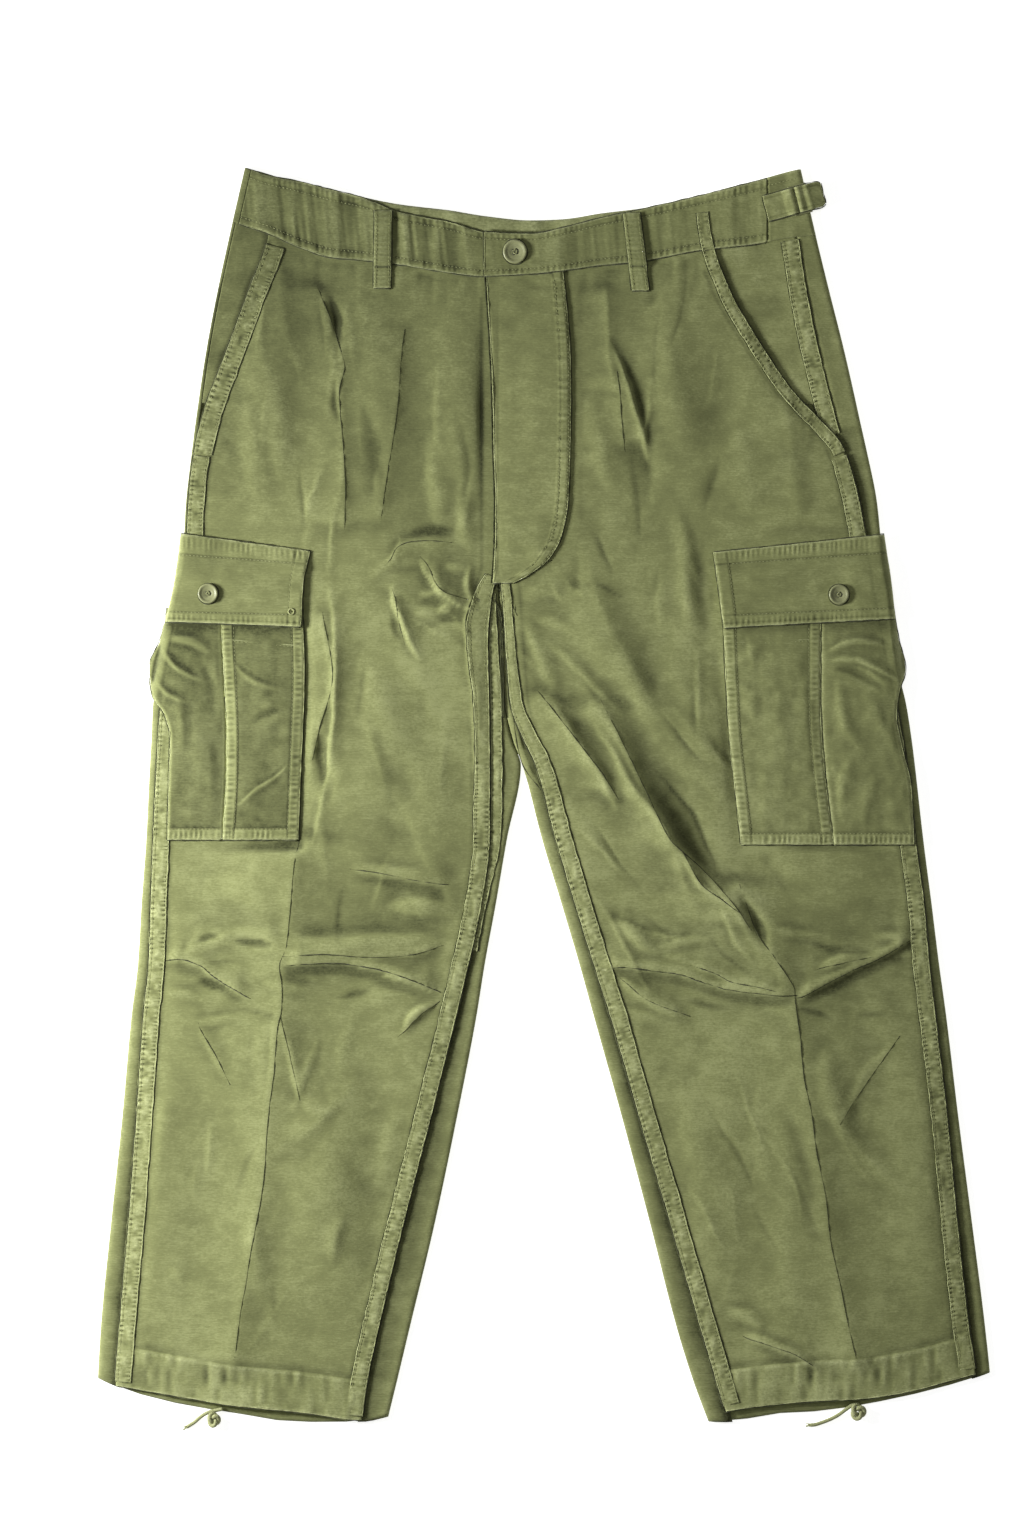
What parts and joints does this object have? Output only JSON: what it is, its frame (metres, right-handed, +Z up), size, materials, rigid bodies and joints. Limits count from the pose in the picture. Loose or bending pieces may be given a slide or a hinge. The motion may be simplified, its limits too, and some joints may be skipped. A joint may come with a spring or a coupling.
{
  "type": "cargo pants",
  "caption": "Wide cotton cargo trousers laid flat, front up, with slash pockets, buttoned fly, flapped cargo pockets on the thighs, side adjuster and drawstring hems.",
  "frame": {"origin": "on the table, under the middle of the laid-out garment's outline", "axes": "+Y towards the waist, +X towards the wearer's left leg, +Z up from the table, out of the front"},
  "size_m": [0.731, 1.0332, 0.0132],
  "materials": {
    "twill": "washed olive green cotton twill, soft and matt, paler on worn seam edges",
    "button": "olive moulded plastic, satin",
    "buckle": "olive moulded slide buckle, satin",
    "cord": "braided olive cotton cord, matt, frayed at its ends"
  },
  "bodies": {
    "root": {"back_panel_right": "twill", "front_panel_right": "twill", "pocket_facing_right": "twill", "cargo_pocket_aft_right": "twill", "cargo_pocket_fore_right": "twill", "cargo_flap_right": "twill", "back_panel_left": "twill", "front_panel_left": "twill", "pocket_facing_left": "twill", "cargo_pocket_aft_left": "twill", "cargo_pocket_fore_left": "twill", "cargo_flap_left": "twill", "waistband_back": "twill", "waistband_front_right": "twill", "waistband_front_left": "twill", "fly_strip": "twill", "belt_loop_right": "twill", "belt_loop_left": "twill", "adjuster_tab": "twill", "adjuster_buckle": "buckle", "adjuster_end": "twill", "waist_button": "button", "flap_button_right": "button", "flap_button_left": "button", "hem_cord_right": "cord", "hem_knot_right": "cord", "hem_cord_left": "cord", "hem_knot_left": "cord"}
  },
  "joints": []
}
